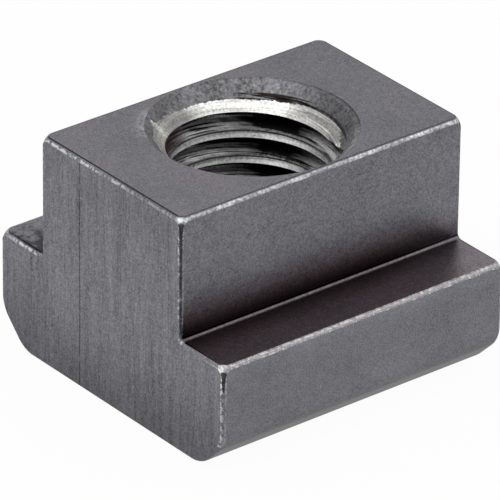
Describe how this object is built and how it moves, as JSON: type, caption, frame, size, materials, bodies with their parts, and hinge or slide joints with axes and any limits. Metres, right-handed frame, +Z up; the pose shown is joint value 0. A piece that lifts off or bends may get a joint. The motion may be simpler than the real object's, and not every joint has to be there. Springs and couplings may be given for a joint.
{
  "type": "t slot nut",
  "caption": "Square T-slot nut in blackened steel, with a narrow neck on a wide chamfered head and a tapped through hole countersunk at both ends.",
  "frame": {"origin": "middle of the underside, on the axis of the thread", "axes": "+Z up the axis of the thread from the head to the neck, +X along the slot, +Y across the head"},
  "size_m": [0.0218, 0.022, 0.0158],
  "materials": {
    "blackened_steel": "milled steel, chemically blackened and tumbled to a satin dark grey, worn bright along the edges, with bare metal in the thread"
  },
  "bodies": {
    "root": {"t_slot_nut": "blackened_steel"}
  },
  "joints": []
}
